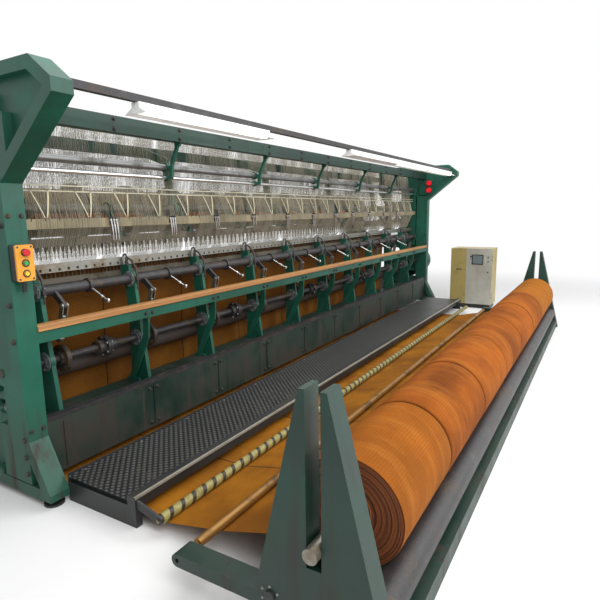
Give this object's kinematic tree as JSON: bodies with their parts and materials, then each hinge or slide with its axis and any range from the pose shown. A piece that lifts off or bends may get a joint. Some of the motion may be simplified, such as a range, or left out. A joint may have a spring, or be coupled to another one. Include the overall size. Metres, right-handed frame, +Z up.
{
  "type": "warp knitting machine",
  "caption": "Warp knitting machine for net: end frames, needle and guide bars, warp beams, walkway, cloth batching unit and control cabinet.",
  "frame": {"origin": "on the floor under the middle of the whole plant", "axes": "+X along the needle line away from the operator's button station, +Y from the cloth roll to the warp beams, +Z up"},
  "size_m": [7.608, 3.9396, 2.3799],
  "materials": {
    "green_paint": "worn gloss",
    "dark_green_paint": "worn satin",
    "bright_steel": "satin",
    "chromed_rod": "polished",
    "dark_steel": "oily satin",
    "varnished_wood": "satin",
    "yarn": "matte",
    "orange_yarn": "matte",
    "net_fabric": "matte",
    "lamp_white": "gloss",
    "lamp_glass": "milky",
    "signal_red": "gloss",
    "roller_cover": "matte",
    "belt_rubber": "matte",
    "motor_grey": "satin",
    "tread_steel": "worn matte",
    "taped_roller": "matte",
    "worn_pipe": "worn satin",
    "cabinet_beige": "satin",
    "cabinet_grey": "satin",
    "screen_black": "gloss",
    "station_yellow": "satin",
    "stop_red": "gloss",
    "start_green": "gloss",
    "jog_amber": "gloss",
    "beam_yarn": "matte"
  },
  "bodies": {
    "machine": {"near_end_frame": "green_paint", "far_end_frame": "green_paint", "bed_beam": "dark_green_paint", "levelling_feet": "dark_steel", "oil_tray": "dark_steel", "upper_beams": "dark_green_paint", "shaft_pedestals": "green_paint", "rail_frame": "green_paint", "hand_rail": "varnished_wood", "yarn_tubes": "dark_steel", "bright_rod": "chromed_rod", "rod_clamps": "green_paint", "tension_rails": "bright_steel", "yarn_guide_plate": "bright_steel", "perforated_bar": "bright_steel", "hooks": "dark_steel", "yarn_packages": "orange_yarn", "lamp_rail": "dark_steel", "lamp_housings": "lamp_white", "lamp_tubes": "lamp_glass", "signal_lamps": "signal_red", "drive_belt": "belt_rubber", "motor": "motor_grey", "belt_guard": "green_paint", "fabric_web": "net_fabric", "yarn_sheets": "yarn", "tread_plate": "tread_steel", "walkway_rails": "tread_steel", "batching_frame": "dark_green_paint", "beam_stands": "green_paint", "cabinet_body": "cabinet_beige", "button_station": "station_yellow"},
    "main_shaft": {"main_shaft": "dark_steel", "cam_discs": "motor_grey", "drive_pulley": "dark_steel"},
    "motor_pulley": {"motor_pulley": "dark_steel"},
    "rocker": {"rocker_tube": "dark_steel"},
    "push_rods": {"push_rods": "bright_steel"},
    "needle_bar": {"needle_bar": "bright_steel"},
    "guide_swing": {"swing_shaft": "bright_steel", "guide_hangers": "green_paint"},
    "guide_bar_front": {"guide_bar_front": "bright_steel"},
    "guide_bar_back": {"guide_bar_back": "bright_steel"},
    "let_off_wheel": {"let_off_wheel": "dark_steel"},
    "take_down_front": {"take_down_roller_front": "roller_cover"},
    "take_down_rear": {"take_down_roller_rear": "roller_cover"},
    "floor_roller": {"floor_roller": "bright_steel"},
    "taped_roller": {"taped_roller": "taped_roller"},
    "pipe_roller": {"pipe_roller": "worn_pipe"},
    "drum_front": {"drum_front": "dark_steel"},
    "drum_rear": {"drum_rear": "dark_steel"},
    "roll_shaft": {"core_shaft": "bright_steel"},
    "cloth_roll": {"cloth_roll": "net_fabric"},
    "warp_beam_upper": {"warp_beam_upper": "beam_yarn"},
    "warp_beam_lower": {"warp_beam_lower": "beam_yarn"},
    "cabinet_door": {"cabinet_door": "cabinet_grey", "cabinet_screen": "screen_black"},
    "stop_button": {"stop_button": "stop_red"},
    "start_button": {"start_button": "start_green"},
    "jog_button": {"jog_button": "jog_amber"}
  },
  "joints": [
    {"name": "main_shaft_spin", "type": "hinge", "parent": "machine", "child": "main_shaft", "pos_m": [0.006, 0.39015, 0.732], "axis": [1, 0, 0], "continuous": true},
    {"name": "motor_spin", "type": "hinge", "parent": "machine", "child": "motor_pulley", "pos_m": [0.006, 0.89015, 0.33], "axis": [1, 0, 0], "continuous": true},
    {"name": "rocker_lift", "type": "hinge", "parent": "machine", "child": "rocker", "pos_m": [0.006, 0.42015, 1.15], "axis": [1, 0, 0], "range_deg": [-4.5, 4.5]},
    {"name": "push_rod_hang", "type": "hinge", "parent": "rocker", "child": "push_rods", "pos_m": [0.006, 0.32015, 1.062], "axis": [1, 0, 0], "range_deg": [-4.6, 4.6]},
    {"name": "needle_bar_lift", "type": "slide", "parent": "machine", "child": "needle_bar", "axis": [0, 0, 1], "range_m": [-0.0078, 0.0078]},
    {"name": "guide_swing", "type": "hinge", "parent": "machine", "child": "guide_swing", "pos_m": [0.006, 0.61015, 1.64], "axis": [1, 0, 0], "range_deg": [-3.5, 3.5]},
    {"name": "shog_front", "type": "slide", "parent": "guide_swing", "child": "guide_bar_front", "axis": [1, 0, 0], "range_m": [-0.015, 0.015]},
    {"name": "shog_back", "type": "slide", "parent": "guide_swing", "child": "guide_bar_back", "axis": [1, 0, 0], "range_m": [-0.015, 0.015]},
    {"name": "let_off_spin", "type": "hinge", "parent": "machine", "child": "let_off_wheel", "pos_m": [0.006, 0.86015, 2.072], "axis": [1, 0, 0], "continuous": true},
    {"name": "take_down_front_spin", "type": "hinge", "parent": "machine", "child": "take_down_front", "pos_m": [0.006, 0.51615, 0.64], "axis": [1, 0, 0], "continuous": true},
    {"name": "take_down_rear_spin", "type": "hinge", "parent": "machine", "child": "take_down_rear", "pos_m": [0.006, 0.63875, 0.64], "axis": [1, 0, 0], "continuous": true},
    {"name": "floor_roller_spin", "type": "hinge", "parent": "machine", "child": "floor_roller", "pos_m": [0.006, 0.54615, 0.0903], "axis": [1, 0, 0], "continuous": true},
    {"name": "taped_roller_spin", "type": "hinge", "parent": "machine", "child": "taped_roller", "pos_m": [0.006, -0.63985, 0.0873], "axis": [1, 0, 0], "continuous": true},
    {"name": "pipe_roller_spin", "type": "hinge", "parent": "machine", "child": "pipe_roller", "pos_m": [0.006, -0.99985, 0.155], "axis": [1, 0, 0], "continuous": true},
    {"name": "drum_front_spin", "type": "hinge", "parent": "machine", "child": "drum_front", "pos_m": [0.006, -1.85485, 0.184], "axis": [1, 0, 0], "continuous": true},
    {"name": "drum_rear_spin", "type": "hinge", "parent": "machine", "child": "drum_rear", "pos_m": [0.006, -1.47485, 0.184], "axis": [1, 0, 0], "continuous": true},
    {"name": "roll_lift", "type": "slide", "parent": "machine", "child": "roll_shaft", "axis": [0, 0, 1], "range_m": [0, 0.3]},
    {"name": "cloth_roll_spin", "type": "hinge", "parent": "roll_shaft", "child": "cloth_roll", "pos_m": [0.006, -1.66485, 0.43059], "axis": [1, 0, 0], "continuous": true},
    {"name": "warp_beam_upper_spin", "type": "hinge", "parent": "machine", "child": "warp_beam_upper", "pos_m": [0.006, 1.55015, 1.62], "axis": [1, 0, 0], "continuous": true},
    {"name": "warp_beam_lower_spin", "type": "hinge", "parent": "machine", "child": "warp_beam_lower", "pos_m": [0.006, 1.55015, 0.7], "axis": [1, 0, 0], "continuous": true},
    {"name": "cabinet_door_hinge", "type": "hinge", "parent": "machine", "child": "cabinet_door", "pos_m": [3.407, -0.92785, 0.5], "axis": [0, 0, 1], "range_deg": [0, 110]},
    {"name": "stop_button_press", "type": "slide", "parent": "machine", "child": "stop_button", "axis": [0, 1, 0], "range_m": [0, 0.006], "stiffness_N_per_m": 300},
    {"name": "start_button_press", "type": "slide", "parent": "machine", "child": "start_button", "axis": [0, 1, 0], "range_m": [0, 0.006], "stiffness_N_per_m": 300},
    {"name": "jog_button_press", "type": "slide", "parent": "machine", "child": "jog_button", "axis": [0, 1, 0], "range_m": [0, 0.006], "stiffness_N_per_m": 300}
  ],
  "couplings": [
    {"joint": "motor_spin", "follows": "main_shaft_spin", "ratio": 2.56},
    {"joint": "push_rod_hang", "follows": "rocker_lift", "ratio": -1},
    {"joint": "needle_bar_lift", "follows": "rocker_lift", "m_per_rad": 0.098},
    {"joint": "take_down_rear_spin", "follows": "take_down_front_spin", "ratio": -1},
    {"joint": "floor_roller_spin", "follows": "take_down_front_spin", "ratio": 2},
    {"joint": "taped_roller_spin", "follows": "take_down_front_spin", "ratio": 2.2222},
    {"joint": "pipe_roller_spin", "follows": "take_down_front_spin", "ratio": 2.6087},
    {"joint": "drum_front_spin", "follows": "take_down_front_spin", "ratio": -0.8},
    {"joint": "drum_rear_spin", "follows": "take_down_front_spin", "ratio": -0.8},
    {"joint": "cloth_roll_spin", "follows": "take_down_front_spin", "ratio": 0.25424}
  ]
}
